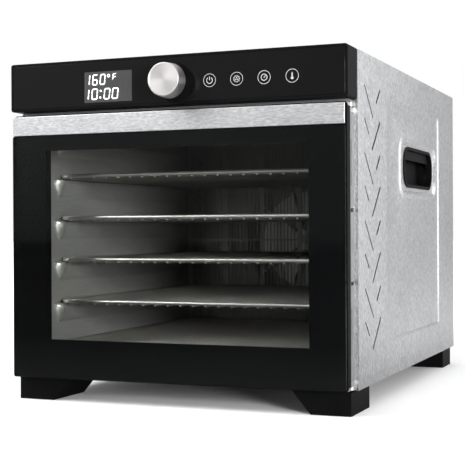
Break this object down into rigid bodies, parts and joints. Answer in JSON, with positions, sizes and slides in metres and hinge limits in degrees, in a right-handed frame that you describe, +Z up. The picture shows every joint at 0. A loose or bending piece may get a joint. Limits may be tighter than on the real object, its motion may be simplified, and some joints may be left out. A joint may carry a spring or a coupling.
{
  "type": "food dehydrator",
  "caption": "Steel box food dehydrator with a side-hung glass door, wire trays, a rear fan and heater, a control panel with a knob, and hand recesses.",
  "frame": {"origin": "middle of the footprint, at the height of the surface that the feet stand on", "axes": "+X to the right seen from the front, +Y to the back, +Z up"},
  "size_m": [0.341, 0.482, 0.326],
  "materials": {
    "casing_steel": "brushed, vertical grain",
    "band_steel": "brushed, horizontal grain",
    "frame_steel": "satin",
    "chamber_steel": "satin",
    "tray_steel": "polished wire",
    "plated_steel": "zinc plated",
    "black_plastic": "fine grain",
    "black_glass": "gloss black print",
    "clear_glass": "clear, lightly tinted",
    "display_glass": "smoked",
    "knob_metal": "turned and spun",
    "fan_metal": "pressed sheet",
    "heater_metal": "oxidised",
    "ceramic": "glazed ceramic",
    "motor_steel": "laminated",
    "module_plastic": "moulded",
    "circuit_board": "solder mask",
    "cable_grey": "soft",
    "pad_copper": "sprung contact",
    "rubber_black": "soft",
    "magnet_grey": "nickel plated"
  },
  "bodies": {
    "cabinet": {"outer_casing": "casing_steel", "base_plate": "plated_steel", "rear_panel": "plated_steel", "front_frame": "frame_steel", "liner_left": "chamber_steel", "liner_right": "chamber_steel", "chamber_ceiling": "chamber_steel", "chamber_floor": "chamber_steel", "chamber_back": "chamber_steel", "fan_baffle": "chamber_steel", "fan_guard": "chamber_steel", "fan_motor": "motor_steel", "motor_bracket": "plated_steel", "heater_element": "heater_metal", "heater_insulators": "ceramic", "thermal_cutout": "module_plastic", "temperature_sensor": "plated_steel", "handle_cup_left": "black_plastic", "handle_cup_right": "black_plastic", "foot_front_left": "black_plastic", "foot_front_right": "black_plastic", "foot_rear_left": "black_plastic", "foot_rear_right": "black_plastic", "foot_screws": "plated_steel", "panel_housing": "black_plastic", "fascia_glass": "black_glass", "display_lens": "display_glass", "display_module": "module_plastic", "control_board": "circuit_board", "encoder_body": "module_plastic", "touch_pads": "pad_copper", "power_board": "circuit_board", "ribbon_cable": "cable_grey", "cord_gland": "rubber_black", "rear_screws": "plated_steel", "frame_magnets": "magnet_grey", "hinge_bracket_upper": "plated_steel", "hinge_bracket_lower": "plated_steel"},
    "door": {"door_frame": "black_plastic", "door_back_frame": "black_plastic", "door_glass": "clear_glass", "glass_border": "black_glass", "door_band": "band_steel", "door_gasket": "rubber_black", "door_magnets": "magnet_grey", "door_screws": "plated_steel", "hinge_tab_upper": "plated_steel", "hinge_tab_lower": "plated_steel", "hinge_pins": "plated_steel"},
    "knob": {"knob": "knob_metal", "knob_base": "black_plastic", "encoder_shaft": "plated_steel"},
    "fan": {"fan_blades": "fan_metal", "motor_shaft": "plated_steel", "fan_nut": "plated_steel"},
    "tray_1": {"tray_1": "tray_steel"},
    "tray_2": {"tray_2": "tray_steel"},
    "tray_3": {"tray_3": "tray_steel"},
    "tray_4": {"tray_4": "tray_steel"},
    "tray_5": {"tray_5": "tray_steel"}
  },
  "joints": [
    {"name": "door_hinge", "type": "hinge", "parent": "cabinet", "child": "door", "pos_m": [0.1645, -0.195, 0.149], "axis": [0, 0, 1], "range_deg": [0, 110]},
    {"name": "knob_turn", "type": "hinge", "parent": "cabinet", "child": "knob", "pos_m": [0.005, -0.228, 0.3003], "axis": [0, 1, 0], "continuous": true},
    {"name": "fan_spin", "type": "hinge", "parent": "cabinet", "child": "fan", "pos_m": [0, 0.188, 0.152], "axis": [0, 1, 0], "continuous": true},
    {"name": "tray_1_slide", "type": "slide", "parent": "cabinet", "child": "tray_1", "axis": [0, -1, 0], "range_m": [0, 0.033]},
    {"name": "tray_2_slide", "type": "slide", "parent": "cabinet", "child": "tray_2", "axis": [0, -1, 0], "range_m": [0, 0.033]},
    {"name": "tray_3_slide", "type": "slide", "parent": "cabinet", "child": "tray_3", "axis": [0, -1, 0], "range_m": [0, 0.033]},
    {"name": "tray_4_slide", "type": "slide", "parent": "cabinet", "child": "tray_4", "axis": [0, -1, 0], "range_m": [0, 0.033]},
    {"name": "tray_5_slide", "type": "slide", "parent": "cabinet", "child": "tray_5", "axis": [0, -1, 0], "range_m": [0, 0.033]}
  ]
}
